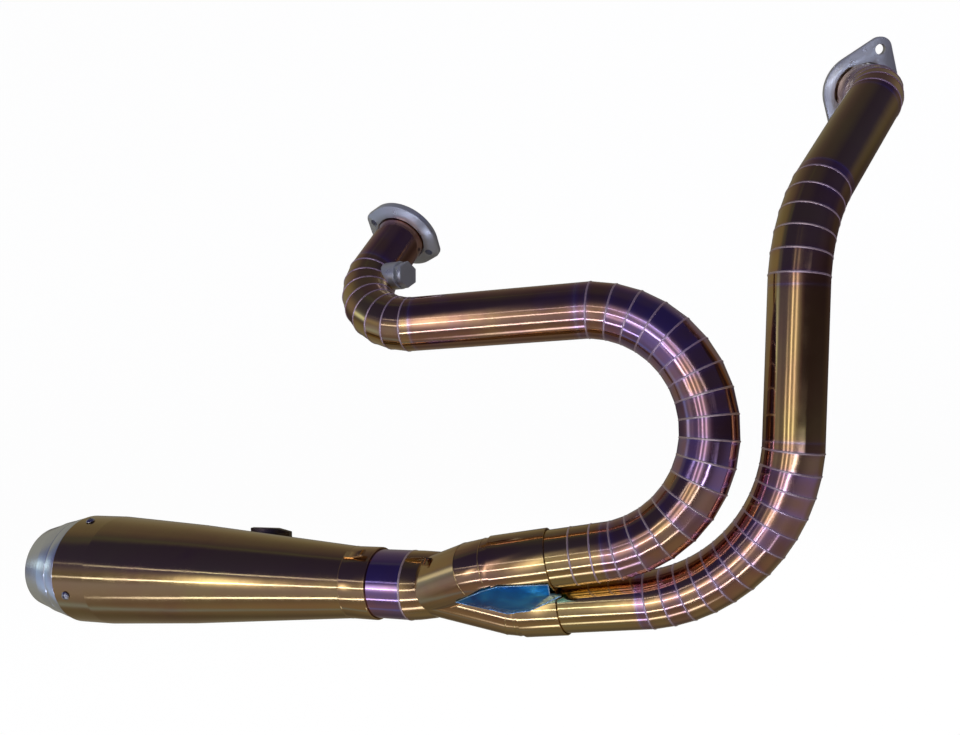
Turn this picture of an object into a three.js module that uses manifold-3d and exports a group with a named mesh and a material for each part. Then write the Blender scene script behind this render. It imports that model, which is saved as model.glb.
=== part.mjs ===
// Two-into-one motorcycle exhaust: two pie-cut head pipes, a merge collector and a megaphone muffler.
// Millimetres. In the working frame +X is forward along the muffler's axis, +Z is up, -Y is outboard,
// and the origin is the centre of the muffler's front edge. The finished group is moved so that its
// own origin is the centre of the front exhaust port.
import * as THREE from 'three';
import { mergeVertices } from 'three/addons/utils/BufferGeometryUtils.js';
import Module from 'manifold-3d';

const wasm = await Module();
wasm.setup();

// ---- driving dimensions ---------------------------------------------------------------------------
const GAP = 0.3; // between pieces that touch
const HALF_GAP = GAP / 2;
const WALL = 1.5; // sheet of every tube and shell
const TUBE_R = 22.225; // 1 3/4 in head pipe
const TUBE_SIDES = 24;
const LATHE_SIDES = 48;

// A head pipe is listed as a tube bender would: straight length, then radius, angle and roll of a bend,
// with the number of welded cuts that the bend is made of. The two long bends are made as two halves.
const REAR_PIPE = {
  mouth: [159, -15, 29.3],
  climb: 8.3,
  inboard: 6.4,
  tail: 43,
  bends: [
    { names: ['u_bend_lower', 'u_bend_upper'], radius: 93, angle: 172.7, roll: -4.2, cuts: 17, then: 'run_tube', length: 136 },
    { names: ['port_bend'], radius: 56, angle: 105.5, roll: -145.7, cuts: 8, then: 'port_stub', length: 58 },
  ],
  flange: { toward: [0.802, 0.315, -0.508], hub: 34, earR: 8.5, earAt: 28.5, holeR: 3.4 },
  mitreAt: 50, // the collector's leg for this pipe turns in two mitres, this far back from the mouth
  mitreLength: 17, // and this far apart
};
const FRONT_PIPE = {
  mouth: [158.5, 17, -13.1],
  climb: 6.3,
  inboard: -0.2,
  tail: 62.5,
  bends: [
    { names: ['lower_bend_aft', 'lower_bend_fore'], radius: 132, angle: 79.5, roll: -1.3, cuts: 13, then: 'down_tube', length: 113 },
    { names: ['upper_bend'], radius: 117, angle: 44.8, roll: 246, cuts: 6, then: 'upper_tube', length: 104 },
    { names: ['port_bend'], radius: 49, angle: 43, roll: -45.4, cuts: 4, then: 'port_stub', length: 34 },
  ],
  flange: { toward: [0.453, -0.191, 0.871], hub: 32, earR: 10.5, earAt: 35.5, holeR: 4.4 },
  mitreAt: 39,
  mitreLength: 8,
};
const INSERTION = 32; // head pipe tail inside its socket

// collector
const SOCKET_R = 24;
const SOCKET_BORE = 22.7;
const LEG_R = 22.8;
const OUTLET_R = 28.6;
const OUTLET_BACK = -22; // rear end, inside the muffler's sleeve
const OUTLET_FRONT = 31; // weld to the merge body
const MERGE_POINT = new THREE.Vector3(46, 0, 0);

// muffler, stations along X
const SLEEVE_R = 30.4;
const SLEEVE_BORE = 28.85;
const CONE_FRONT = -25;
const CONE_MID = -190; // the megaphone opens a little faster ahead of here
const CONE_MID_R = 44.7;
const CONE_REAR = -286.5;
const SHELL_REAR = -323.3;
const BODY_R = 50.8;
const BODY_REAR_R = 51;
const CAP_REAR = -373;
const CAP_RIM_R = 37;
const CORE_R = 25.4;
const CORE_WALL = 1.2;
const CORE_FRONT = -32;
const CORE_REAR = -352;
const SCREW_X = -309;
const SCREW_ANGLES = [72, 162, 252, 342];
const SCREW_R = 2.4;

// port flange
const FLANGE = { bore: 23.2, thick: 9, setBack: 2 };
const COUNTERBORE_R = 24.7;
const COUNTERBORE_DEPTH = 4;
const RING = { inner: 22.6, outer: 24.3, thick: 3 };

// oxygen sensor bung on the rear pipe
const BUNG = { r: 12, bore: 9, base: 17, top: 35, beforeStub: 8, toward: [0.96, -0.26, -0.04] };
const PLUG = { shankR: 8.6, shankFrom: 26, headR: 11.5, headTop: 42 };

// ---- materials --------------------------------------------------------------------------------------
const metal = (color, roughness) => () =>
  new THREE.MeshStandardMaterial({ color, roughness, metalness: 1 });
const tinted = metal(0x7a6238, 0.22);
const purple = metal(0x6a4258, 0.22);
const blued = metal(0x1f6fb0, 0.2);
const bareSteel = metal(0x8f9498, 0.35);
const bracketSteel = metal(0x4a4436, 0.45);
const aluminium = metal(0xaab4c2, 0.3);
const wool = () => new THREE.MeshStandardMaterial({ color: 0xc9c2a8, roughness: 1, metalness: 0 });

// ---- geometry helpers -------------------------------------------------------------------------------
const vec = (x, y, z) => new THREE.Vector3(x, y, z);
const rad = THREE.MathUtils.degToRad;

function solid(geometry) {
  const bare = geometry.index ? geometry.clone().toNonIndexed() : geometry.clone();
  bare.deleteAttribute('normal');
  bare.deleteAttribute('uv');
  const merged = mergeVertices(bare, 1e-4);
  return new wasm.Manifold(
    new wasm.Mesh({
      numProp: 3,
      vertProperties: new Float32Array(merged.attributes.position.array),
      triVerts: new Uint32Array(merged.index.array),
    }),
  );
}

const largest = (manifold) => manifold.decompose().sort((a, b) => b.volume() - a.volume())[0];

function geometryOf(manifold) {
  const mesh = manifold.getMesh();
  const geometry = new THREE.BufferGeometry();
  geometry.setAttribute('position', new THREE.BufferAttribute(new Float32Array(mesh.vertProperties), 3));
  geometry.setIndex(new THREE.BufferAttribute(new Uint32Array(mesh.triVerts), 1));
  geometry.computeVertexNormals();
  return geometry;
}

// Closed profile of [x, radius] pairs, in either order, turned about the X axis.
function turned(profile, sides = LATHE_SIDES) {
  const points = profile.map(([x, r]) => new THREE.Vector2(r, x));
  if (THREE.ShapeUtils.area(points) < 0) points.reverse();
  points.push(points[0].clone());
  const geometry = new THREE.LatheGeometry(points, sides);
  geometry.rotateZ(-Math.PI / 2);
  return geometry;
}

// Solid cylinder between two points.
function rod(from, to, radius, sides = TUBE_SIDES) {
  const axis = to.clone().sub(from);
  const geometry = new THREE.CylinderGeometry(radius, radius, axis.length(), sides);
  geometry.applyQuaternion(new THREE.Quaternion().setFromUnitVectors(vec(0, 1, 0), axis.normalize()));
  const middle = from.clone().add(to).multiplyScalar(0.5);
  return geometry.translate(middle.x, middle.y, middle.z);
}

function ringShape(outer, inner) {
  const shape = new THREE.Shape().absarc(0, 0, outer, 0, Math.PI * 2, false);
  if (inner > 0) shape.holes.push(new THREE.Path().absarc(0, 0, inner, 0, Math.PI * 2, true));
  return shape;
}

// A path that is only read at its stations, so that each welded slice of a bend stays straight.
class StationPath extends THREE.Curve {
  constructor(stations) {
    super();
    this.stations = stations;
  }
  station(u) {
    return this.stations[Math.round(u * (this.stations.length - 1))];
  }
  getPointAt(u, target = new THREE.Vector3()) {
    return target.copy(this.station(u).point);
  }
  getTangentAt(u, target = new THREE.Vector3()) {
    return target.copy(this.station(u).tangent);
  }
}

function tube(stations, outer, inner) {
  return new THREE.ExtrudeGeometry(ringShape(outer, inner), {
    steps: stations.length - 1,
    curveSegments: TUBE_SIDES / 2,
    extrudePath: new StationPath(stations),
  });
}

// Both ends drawn in by half a gap, so that welded neighbours don't touch.
function drawnIn(stations) {
  const ends = stations.map(({ point, tangent }) => ({ point: point.clone(), tangent }));
  ends[0].point.addScaledVector(ends[0].tangent, HALF_GAP);
  ends.at(-1).point.addScaledVector(ends.at(-1).tangent, -HALF_GAP);
  return ends;
}

const straightStations = (from, tangent, length) => [
  { point: from.clone(), tangent: tangent.clone() },
  { point: from.clone().addScaledVector(tangent, length), tangent: tangent.clone() },
];

// ---- head pipe routes ---------------------------------------------------------------------------------
function heading(climb, inboard) {
  const c = Math.cos(rad(climb));
  return vec(c * Math.cos(rad(inboard)), c * Math.sin(rad(inboard)), Math.sin(rad(climb)));
}

// Stations of every section of a pipe, from its tail to its port.
function route(pipe) {
  const tangent = heading(pipe.climb, pipe.inboard);
  const normal = vec(0, 0, 1).addScaledVector(tangent, -tangent.z).normalize();
  const mouth = vec(...pipe.mouth);
  const point = mouth.clone().addScaledVector(tangent, -INSERTION);
  const sections = [{ name: 'slip_tail', stations: straightStations(point, tangent, INSERTION + pipe.tail) }];
  point.addScaledVector(tangent, INSERTION + pipe.tail);
  for (const bend of pipe.bends) {
    const side = tangent.clone().cross(normal);
    const inward = normal.clone().multiplyScalar(Math.cos(rad(bend.roll)));
    inward.addScaledVector(side, Math.sin(rad(bend.roll)));
    const step = rad(bend.angle) / bend.cuts;
    const centre = point.clone().addScaledVector(inward, bend.radius);
    const start = tangent.clone();
    const at = (angle, radius) => ({
      point: centre
        .clone()
        .addScaledVector(inward, -radius * Math.cos(angle))
        .addScaledVector(start, radius * Math.sin(angle)),
      tangent: start.clone().multiplyScalar(Math.cos(angle)).addScaledVector(inward, Math.sin(angle)),
    });
    const stations = [at(0, bend.radius)];
    for (let cut = 0; cut < bend.cuts; cut++) {
      stations.push(at((cut + 0.5) * step, bend.radius / Math.cos(step / 2)));
    }
    stations.push(at(rad(bend.angle), bend.radius));
    const middle = bend.names.length > 1 ? Math.floor(stations.length / 2) : stations.length - 1;
    const halves = [stations.slice(0, middle + 1), stations.slice(middle)];
    bend.names.forEach((name, index) => sections.push({ name, stations: halves[index] }));
    const axis = start.clone().cross(inward).normalize();
    normal.applyAxisAngle(axis, rad(bend.angle));
    tangent.copy(stations.at(-1).tangent);
    point.copy(stations.at(-1).point);
    sections.push({ name: bend.then, stations: straightStations(point, tangent, bend.length) });
    point.addScaledVector(tangent, bend.length);
  }
  return { ...pipe, sections, mouth, heading: heading(pipe.climb, pipe.inboard), port: point, portAxis: tangent };
}

const rear = route(REAR_PIPE);
const front = route(FRONT_PIPE);

// ---- the assembly -------------------------------------------------------------------------------------
const exhaust = new THREE.Group();
exhaust.position.copy(front.port).negate();

function add(name, geometry, material, parent = exhaust) {
  const mesh = new THREE.Mesh(geometry, material());
  mesh.name = name;
  parent.add(mesh);
  return mesh;
}

// ---- head pipes ---------------------------------------------------------------------------------------
const bungAxis = vec(...BUNG.toward);
const stubStart = rear.sections.at(-1).stations[0];
bungAxis.addScaledVector(stubStart.tangent, -bungAxis.dot(stubStart.tangent)).normalize();
const bungBase = stubStart.point.clone().addScaledVector(stubStart.tangent, -BUNG.beforeStub);
const alongBung = (distance) => bungBase.clone().addScaledVector(bungAxis, distance);

function sectionGeometry(section) {
  return tube(drawnIn(section.stations), TUBE_R, TUBE_R - WALL);
}

function addPipe(side, laid) {
  for (const section of laid.sections) {
    let geometry = sectionGeometry(section);
    if (side === 'rear' && section.name === 'port_bend') {
      const hole = solid(rod(alongBung(5), alongBung(BUNG.top), PLUG.shankR - 0.6, 12));
      geometry = geometryOf(solid(geometry).subtract(hole));
    }
    add(`${side}_${section.name}`, geometry, tinted);
  }
}
addPipe('rear', rear);
addPipe('front', front);

// The bung's foot is cut to the pipe's bend.
function addBung() {
  const bend = rear.sections.find((section) => section.name === 'port_bend');
  const stub = rear.sections.at(-1);
  const throughPort = [...bend.stations.slice(0, -1), stub.stations.at(-1)];
  const body = solid(rod(alongBung(BUNG.base), alongBung(BUNG.top), BUNG.r))
    .subtract(solid(rod(alongBung(0), alongBung(BUNG.top + 5), BUNG.bore)))
    .subtract(solid(tube(throughPort, TUBE_R + 2 * GAP, 0)));
  add('rear_sensor_bung', geometryOf(body), bareSteel);
  const head = rod(alongBung(BUNG.top + GAP), alongBung(PLUG.headTop), PLUG.headR, 6);
  const shank = rod(alongBung(PLUG.shankFrom), alongBung(BUNG.top + 1), PLUG.shankR, 16);
  add('rear_sensor_plug', geometryOf(solid(head).add(solid(shank))), bareSteel);
}
addBung();

// ---- port flanges and the rings that hold them --------------------------------------------------------
function flangeOutline({ hub, earR, earAt, holeR }) {
  const lean = Math.acos((hub - earR) / earAt);
  const shape = new THREE.Shape();
  shape.absarc(earAt, 0, earR, -lean, lean, false);
  shape.absarc(0, 0, hub, lean, Math.PI - lean, false);
  shape.absarc(-earAt, 0, earR, Math.PI - lean, Math.PI + lean, false);
  shape.absarc(0, 0, hub, Math.PI + lean, 2 * Math.PI - lean, false);
  shape.closePath();
  shape.holes.push(new THREE.Path().absarc(0, 0, FLANGE.bore, 0, Math.PI * 2, true));
  for (const x of [-earAt, earAt]) {
    shape.holes.push(new THREE.Path().absarc(x, 0, holeR, 0, Math.PI * 2, true));
  }
  return shape;
}

// Local +Z points out of the pipe into the port, local X along the two ears.
function addPort(side, laid, outline) {
  const port = new THREE.Group();
  const z = laid.portAxis.clone();
  const toward = vec(...outline.toward);
  const x = toward.addScaledVector(z, -toward.dot(z)).normalize();
  const y = z.clone().cross(x);
  port.quaternion.setFromRotationMatrix(new THREE.Matrix4().makeBasis(x, y, z));
  port.position.copy(laid.port);
  exhaust.add(port);

  const face = -FLANGE.setBack;
  const plate = new THREE.ExtrudeGeometry(flangeOutline(outline), {
    depth: FLANGE.thick,
    curveSegments: 12,
    bevelEnabled: false,
  });
  plate.translate(0, 0, face - FLANGE.thick);
  const counterbore = rod(vec(0, 0, face - COUNTERBORE_DEPTH), vec(0, 0, face + 1), COUNTERBORE_R, 32);
  add(`${side}_flange`, geometryOf(solid(plate).subtract(solid(counterbore))), bareSteel, port);

  const ring = new THREE.ExtrudeGeometry(ringShape(RING.outer, RING.inner), {
    depth: RING.thick,
    curveSegments: 16,
    bevelEnabled: false,
  });
  ring.translate(0, 0, face - COUNTERBORE_DEPTH + GAP);
  add(`${side}_retaining_ring`, ring, bareSteel, port);
}
addPort('rear', rear, REAR_PIPE.flange);
addPort('front', front, FRONT_PIPE.flange);

// ---- collector ------------------------------------------------------------------------------------------
const outletProfile = (wall, beyond) => [
  [OUTLET_FRONT + HALF_GAP - beyond, OUTLET_R - wall],
  [OUTLET_FRONT + 22, OUTLET_R - 1.5 - wall],
  [OUTLET_FRONT + 38, LEG_R - 3 - wall],
  [OUTLET_FRONT + 38, 0],
  [OUTLET_FRONT + HALF_GAP - beyond, 0],
];

add(
  'collector_outlet_tube',
  turned([
    [OUTLET_BACK, OUTLET_R],
    [OUTLET_FRONT - HALF_GAP, OUTLET_R],
    [OUTLET_FRONT - HALF_GAP, OUTLET_R - WALL],
    [OUTLET_BACK, OUTLET_R - WALL],
  ]),
  purple,
);

// A leg runs back from its socket, turns in two equal mitres and ends past the merge point.
function legStations(laid) {
  const back = laid.heading.clone().negate();
  const first = laid.mouth.clone().addScaledVector(back, laid.mitreAt);
  const straightHome = MERGE_POINT.clone().sub(first).normalize();
  const halfway = back.clone().add(straightHome).normalize();
  const second = first.clone().addScaledVector(halfway, laid.mitreLength);
  const home = MERGE_POINT.clone().sub(second).normalize();
  const mean = (a, b) => a.clone().add(b).normalize();
  return [
    { point: laid.mouth.clone().addScaledVector(back, laid.mitreAt - 4), tangent: back },
    { point: first, tangent: mean(back, halfway) },
    { point: second, tangent: mean(halfway, home) },
    { point: MERGE_POINT.clone().addScaledVector(home, 6), tangent: home },
  ];
}
const legs = [rear, front].map(legStations);

// The merge body's outside, or with a wall and an overrun the room inside it.
function mergeShape(wall, beyond) {
  let shape = solid(turned(outletProfile(wall, beyond)));
  for (const leg of legs) {
    const [first, ...others] = leg;
    const start = { point: first.point.clone().addScaledVector(first.tangent, -beyond), tangent: first.tangent };
    shape = shape.add(solid(tube([start, ...others], LEG_R - wall, 0)));
  }
  return shape;
}
const behindWeld = solid(rod(vec(OUTLET_FRONT - 40, 0, 0), vec(OUTLET_FRONT + HALF_GAP, 0, 0), 60));
const mergeBody = mergeShape(0, 0).subtract(mergeShape(WALL, 2)).subtract(behindWeld);
add('collector_merge_body', geometryOf(largest(mergeBody)), tinted);

for (const [side, laid] of [['rear', rear], ['front', front]]) {
  const length = laid.mitreAt - 4 - GAP;
  const start = laid.mouth.clone().addScaledVector(laid.heading, -length);
  const stations = straightStations(start, laid.heading, length);
  add(`collector_${side}_socket`, tube(stations, SOCKET_R, SOCKET_BORE), tinted);
}

// Folded filler plates close the groove between the two legs, one on each side. The outboard one runs
// from the crotch, its upper edge along the rear leg and its lower edge along the front leg, with a fold
// between them. Its corners start inside the tubes or just off them, and are cut clear of them.
const GUSSET_THICK = 1.6;
const GUSSET_CROTCH = [77, -20, -8.2];
const GUSSET_UPPER = [[108.5, -40, 6.5], [123.5, -41, 11.5], [157, -35, 12.8]];
const GUSSET_FOLD = [[113, -31, -1.2], [138.5, -32, 2.2], [157, -31, 4.2]];
const GUSSET_LOWER = [[103.8, -9, -14.6], [117.2, -6.5, -17.5], [135.2, -6.5, -14.6], [146, -6, -9.6], [157, -4.5, -3.4]];
const GUSSET_OUT = vec(0, -0.722, -0.692);
// Corners are counted from the crotch, 0, along the upper edge, 1 to 3, the fold, 4 to 6, and the lower edge.
const GUSSET_FACETS = [
  [0, 1, 4], [0, 4, 7], [1, 2, 5], [1, 5, 4], [2, 3, 6], [2, 6, 5],
  [4, 8, 7], [4, 5, 8], [5, 9, 8], [5, 6, 9], [6, 10, 9], [6, 11, 10],
];

// Closed plate on triangular facets, thickened by the given step.
function foldedPlate(corners, facets, step) {
  const facing = facets.map(([a, b, c]) => {
    const normal = corners[b].clone().sub(corners[a]).cross(corners[c].clone().sub(corners[a]));
    return normal.dot(step) < 0 ? [a, b, c] : [a, c, b];
  });
  const count = corners.length;
  const edges = facing.flatMap(([a, b, c]) => [[a, b], [b, c], [c, a]]);
  const rim = edges.filter(([a, b]) => !edges.some(([c, d]) => a === d && b === c));
  const under = facing.map(([a, b, c]) => [c + count, b + count, a + count]);
  const walls = rim.flatMap(([a, b]) => [[b, a, a + count], [b, a + count, b + count]]);
  const all = [...corners, ...corners.map((point) => point.clone().add(step))];
  return new THREE.BufferGeometry().setFromPoints([...facing, ...under, ...walls].flat().map((k) => all[k]));
}

function addGusset(name, mirrored, material) {
  const corner = (p) => {
    const point = vec(...p);
    return mirrored ? point.addScaledVector(GUSSET_OUT, -2 * point.dot(GUSSET_OUT)) : point;
  };
  const step = GUSSET_OUT.clone().multiplyScalar(mirrored ? GUSSET_THICK : -GUSSET_THICK);
  const corners = [GUSSET_CROTCH, ...GUSSET_UPPER, ...GUSSET_FOLD, ...GUSSET_LOWER].map(corner);
  let plate = solid(foldedPlate(corners, GUSSET_FACETS, step));
  for (const laid of [rear, front]) {
    const end = laid.mouth.clone().addScaledVector(laid.heading, 5);
    const start = laid.mouth.clone().addScaledVector(laid.heading, 4 - laid.mitreAt);
    plate = plate.subtract(solid(rod(start, end, SOCKET_R + 2 * GAP)));
  }
  plate = plate.subtract(mergeShape(-2 * GAP, 4));
  add(name, geometryOf(largest(plate)), material);
}
addGusset('collector_gusset_outer', false, blued);
addGusset('collector_gusset_inner', true, tinted);

// ---- muffler --------------------------------------------------------------------------------------------
add(
  'muffler_inlet_sleeve',
  turned([
    [0, SLEEVE_R],
    [CONE_FRONT + HALF_GAP, SLEEVE_R],
    [CONE_FRONT + HALF_GAP, SLEEVE_BORE],
    [0, SLEEVE_BORE],
  ]),
  tinted,
);

const screwLine = (angle, from, to) => {
  const out = vec(0, -Math.cos(rad(angle)), Math.sin(rad(angle)));
  const axisPoint = vec(SCREW_X, 0, 0);
  return [axisPoint.clone().addScaledVector(out, from), axisPoint.clone().addScaledVector(out, to)];
};

function withScrewHoles(geometry) {
  let body = solid(geometry);
  for (const angle of SCREW_ANGLES) {
    body = body.subtract(solid(rod(...screwLine(angle, 40, 60), SCREW_R + GAP, 12)));
  }
  return geometryOf(body);
}

add(
  'muffler_shell',
  withScrewHoles(
    turned([
      [SHELL_REAR, BODY_REAR_R - WALL],
      [CONE_REAR, BODY_R - WALL],
      [CONE_MID, CONE_MID_R - WALL],
      [CONE_FRONT - HALF_GAP, SLEEVE_R - WALL],
      [CONE_FRONT - HALF_GAP, SLEEVE_R],
      [CONE_MID, CONE_MID_R],
      [CONE_REAR, BODY_R],
      [SHELL_REAR, BODY_REAR_R],
    ]),
  ),
  tinted,
);

// End cap: a spigot inside the shell, a tapered nose with a rounded rim, and the outlet bore.
const CAP_FRONT = SHELL_REAR - GAP;
const SPIGOT_FRONT = -291;
const SPIGOT_R = BODY_R - WALL - 1;
const CAP_BORE = CORE_R + GAP;
const RIM_ROUND = 9;
function capProfile() {
  const points = [
    [CAP_REAR + 22, CAP_BORE],
    [CAP_REAR, CAP_BORE],
    [CAP_REAR, CAP_RIM_R - RIM_ROUND * 0.6],
  ];
  for (let step = 1; step <= 4; step++) {
    const angle = (step / 4) * (Math.PI / 3);
    points.push([
      CAP_REAR + RIM_ROUND * (1 - Math.cos(angle)),
      CAP_RIM_R - RIM_ROUND * 0.6 + RIM_ROUND * Math.sin(angle),
    ]);
  }
  points.push([CAP_REAR + 22, 45.2], [CAP_FRONT, BODY_REAR_R - 0.4]);
  points.push([CAP_FRONT, SPIGOT_R], [SPIGOT_FRONT, SPIGOT_R], [SPIGOT_FRONT, SPIGOT_R - 4]);
  points.push([CAP_FRONT - 6, SPIGOT_R - 4], [CAP_REAR + 22, 38]);
  return points;
}
add('muffler_end_cap', withScrewHoles(turned(capProfile())), aluminium);

// Button head screws with a hexagon socket.
function addScrew(name, angle) {
  const headR = 4.3;
  const headHeight = 2.5;
  const seat = BODY_REAR_R + 0.25;
  const dome = turned(
    [
      [seat, 0],
      [seat, headR],
      [seat + 0.7, headR],
      [seat + 1.7, headR * 0.8],
      [seat + headHeight, headR * 0.45],
      [seat + headHeight, 0],
    ],
    16,
  );
  const shank = turned([[SPIGOT_R - 4, 0], [SPIGOT_R - 4, SCREW_R], [seat + 0.5, SCREW_R], [seat + 0.5, 0]], 12);
  const socket = rod(vec(seat + 1, 0, 0), vec(seat + 4, 0, 0), 1.5, 6);
  const mesh = add(name, geometryOf(solid(dome).add(solid(shank)).subtract(solid(socket))), bareSteel);
  const out = vec(0, -Math.cos(rad(angle)), Math.sin(rad(angle)));
  mesh.quaternion.setFromUnitVectors(vec(1, 0, 0), out);
  mesh.position.set(SCREW_X, 0, 0);
}
SCREW_ANGLES.forEach((angle, index) => addScrew(`end_cap_screw_${index + 1}`, angle));

// Perforated core, its front support ring and the sound-absorbing packing around it.
const HOLE_ROWS = 9;
const HOLES_ROUND = 6;
const PERFORATION_R = 3;
function addCore() {
  let core = solid(
    turned(
      [
        [CORE_FRONT, CORE_R],
        [CORE_REAR, CORE_R],
        [CORE_REAR, CORE_R - CORE_WALL],
        [CORE_FRONT, CORE_R - CORE_WALL],
      ],
      TUBE_SIDES,
    ),
  );
  for (let row = 0; row < HOLE_ROWS; row++) {
    const x = -60 - row * 26;
    for (let hole = 0; hole < HOLES_ROUND; hole++) {
      const angle = ((hole + (row % 2) / 2) / HOLES_ROUND) * 2 * Math.PI;
      const out = vec(0, Math.cos(angle), Math.sin(angle));
      const start = vec(x, 0, 0).addScaledVector(out, CORE_R - 4);
      const end = vec(x, 0, 0).addScaledVector(out, CORE_R + 4);
      core = core.subtract(solid(rod(start, end, PERFORATION_R, 6)));
    }
  }
  add('muffler_core_tube', geometryOf(core), bareSteel);
}
addCore();

const shellR = (x) =>
  x > CONE_MID
    ? THREE.MathUtils.mapLinear(x, CONE_FRONT, CONE_MID, SLEEVE_R, CONE_MID_R)
    : THREE.MathUtils.mapLinear(x, CONE_MID, CONE_REAR, CONE_MID_R, BODY_R);
const shellBore = (x) => shellR(x) - WALL;
const RING_REAR = CORE_FRONT - 8;
add(
  'muffler_core_ring',
  turned(
    [
      [CORE_FRONT, CORE_R + GAP],
      [CORE_FRONT, shellBore(CORE_FRONT) - GAP],
      [RING_REAR, shellBore(CORE_FRONT) - GAP],
      [RING_REAR, CORE_R + GAP],
    ],
  ),
  bareSteel,
);
const PACKING_FRONT = RING_REAR - 2;
const PACKING_REAR = SPIGOT_FRONT + 5;
add(
  'muffler_packing',
  turned(
    [
      [PACKING_FRONT, CORE_R + GAP],
      [PACKING_FRONT, shellBore(PACKING_FRONT) - 2 * GAP],
      [CONE_MID, shellBore(CONE_MID) - 2 * GAP],
      [PACKING_REAR, shellBore(PACKING_REAR) - 2 * GAP],
      [PACKING_REAR, CORE_R + GAP],
    ],
    TUBE_SIDES,
  ),
  wool,
);

// Hanger bracket: an upright plate with a slot, on two short webs welded to the shell's inboard side.
const HANGER = { front: -124, rear: -168, bottom: -6, top: 36, thick: 5, slotR: 4.3, slotHalf: 9 };
function addHanger() {
  const middle = (HANGER.front + HANGER.rear) / 2;
  const face = shellR(HANGER.rear) + 3;
  const plate = new THREE.Shape([
    new THREE.Vector2(HANGER.rear, HANGER.bottom + 8),
    new THREE.Vector2(HANGER.rear + 8, HANGER.bottom),
    new THREE.Vector2(HANGER.front - 8, HANGER.bottom),
    new THREE.Vector2(HANGER.front, HANGER.bottom + 8),
    new THREE.Vector2(HANGER.front, HANGER.top - 3),
    new THREE.Vector2(HANGER.front - 14, HANGER.top),
    new THREE.Vector2(HANGER.rear, HANGER.top),
  ]);
  const slot = new THREE.Path();
  const slotZ = 14;
  slot.absarc(middle - HANGER.slotHalf, slotZ, HANGER.slotR, Math.PI / 2, 1.5 * Math.PI, false);
  slot.absarc(middle + HANGER.slotHalf, slotZ, HANGER.slotR, 1.5 * Math.PI, 2.5 * Math.PI, false);
  slot.closePath();
  plate.holes.push(slot);
  const upright = new THREE.ExtrudeGeometry(plate, { depth: HANGER.thick, curveSegments: 8, bevelEnabled: false });
  upright.rotateX(Math.PI / 2);
  upright.translate(0, face + HANGER.thick, 0);
  let bracket = solid(upright);
  for (const x of [HANGER.rear + 5, HANGER.front - 5]) {
    const web = new THREE.BoxGeometry(4, 26, 26).translate(x, face - 12.5, 14);
    bracket = bracket.add(solid(web));
  }
  const clear = turned([
    [0, 0],
    [CONE_FRONT, SLEEVE_R + GAP],
    [CONE_MID, CONE_MID_R + GAP],
    [CONE_REAR, BODY_R + GAP],
    [CONE_REAR, 0],
  ]);
  bracket = bracket.subtract(solid(clear));
  add('muffler_hanger', geometryOf(bracket), bracketSteel);
}
addHanger();

// Spring hooks: a strip with a foot welded beside the slip joint and a tongue that rises towards it.
// The foot starts deep and is cut to the surface it stands on.
const HOOK_WIDTH = 7;
const HOOK_PROFILE = [[0, -6], [9, -6], [10, 0.8], [20, 3.4], [19.4, 5.2], [9, 2], [0, 2]];
function addHook(name, footX, towards, radius, slope, angle, cutter) {
  const shape = new THREE.Shape(HOOK_PROFILE.map(([x, z]) => new THREE.Vector2(x, z)));
  const strip = new THREE.ExtrudeGeometry(shape, { depth: HOOK_WIDTH, bevelEnabled: false });
  strip.rotateX(Math.PI / 2).translate(0, HOOK_WIDTH / 2, 0);
  if (towards < 0) strip.rotateZ(Math.PI);
  strip.rotateY(rad(slope)).translate(footX, 0, radius);
  strip.rotateX(rad(90 - angle));
  add(name, geometryOf(largest(solid(strip).subtract(cutter))), bareSteel);
}
const HOOK_ANGLES = [57, 237];
const sleeveCutter = solid(rod(vec(-60, 0, 0), vec(20, 0, 0), SLEEVE_R + GAP, LATHE_SIDES));
const mergeCutter = mergeShape(-2 * GAP, 4);
HOOK_ANGLES.forEach((angle, index) => {
  addHook(`muffler_spring_hook_${index + 1}`, -24.5, 1, SLEEVE_R, 0, angle, sleeveCutter);
});
addHook('collector_spring_hook_1', 72, -1, 33, -12, 48, mergeCutter);
addHook('collector_spring_hook_2', 72, -1, 33, -12, 228, mergeCutter);

export default exhaust;
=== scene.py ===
# Looks for the two-into-one exhaust: heat-tinted pie-cut pipes, collector and megaphone muffler.
import math
import random

import bmesh
import bpy
from mathutils import Matrix, Vector


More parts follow.
